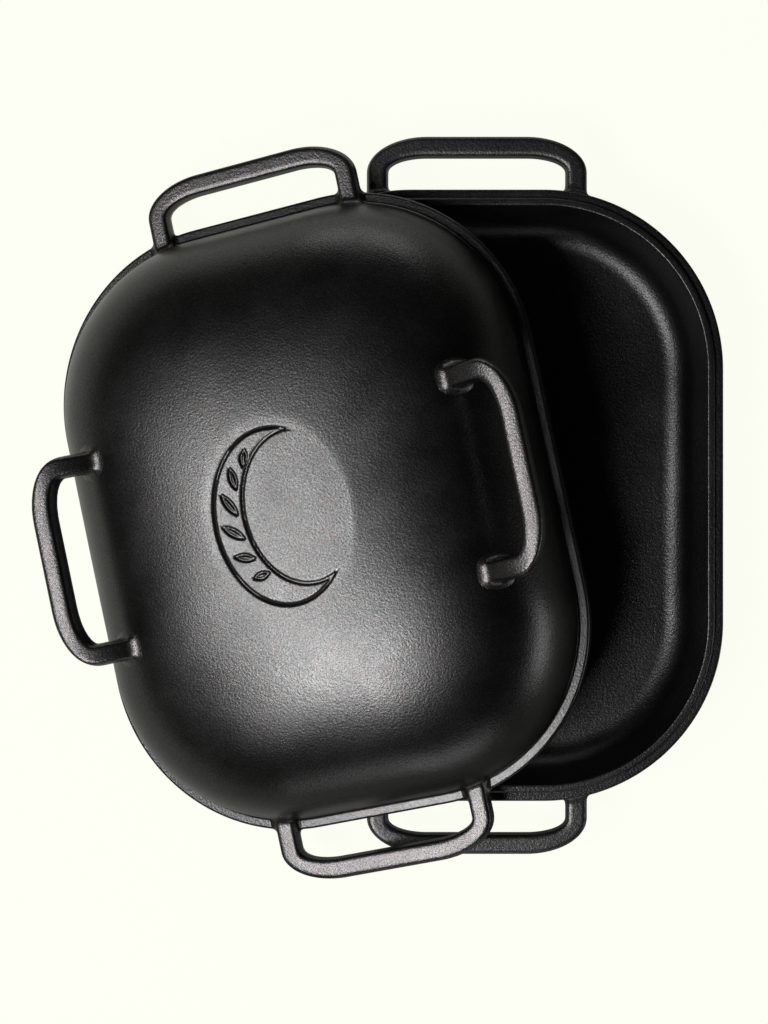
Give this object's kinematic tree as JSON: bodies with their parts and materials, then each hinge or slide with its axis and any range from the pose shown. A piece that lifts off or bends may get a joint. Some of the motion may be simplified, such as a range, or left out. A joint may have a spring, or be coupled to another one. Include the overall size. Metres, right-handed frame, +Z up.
{
  "type": "loaf pan",
  "caption": "Two-piece seasoned cast-iron loaf pan: a shallow rounded base tray with end loop handles and a domed lid with end and shoulder handles, lid resting across the base.",
  "frame": {"origin": "centre of the base's flat underside", "axes": "+Z up; +Y along the base's long axis, from the front handle to the rear handle; +X away from the side that the lid lies on"},
  "size_m": [0.3901, 0.4268, 0.1553],
  "materials": {
    "base_iron": "seasoned black cast iron, fine pebbled sand-cast grain, satin",
    "base_handle_iron": "seasoned black cast iron, slightly smoother where it is gripped",
    "lid_iron": "seasoned black cast iron, fine pebbled sand-cast grain, satin",
    "lid_handle_iron": "seasoned black cast iron, slightly smoother where it is gripped"
  },
  "bodies": {
    "base": {"base_pan": "base_iron", "base_end_handle_front": "base_handle_iron", "base_end_handle_rear": "base_handle_iron"},
    "lid": {"lid_dome": "lid_iron", "lid_end_handle_front": "lid_handle_iron", "lid_end_handle_rear": "lid_handle_iron", "lid_top_handle_left": "lid_handle_iron", "lid_top_handle_right": "lid_handle_iron"}
  },
  "joints": [
    {"name": "lid_lift", "type": "slide", "parent": "base", "child": "lid", "axis": [0, 0, 1], "range_m": [0, 0.15]}
  ]
}
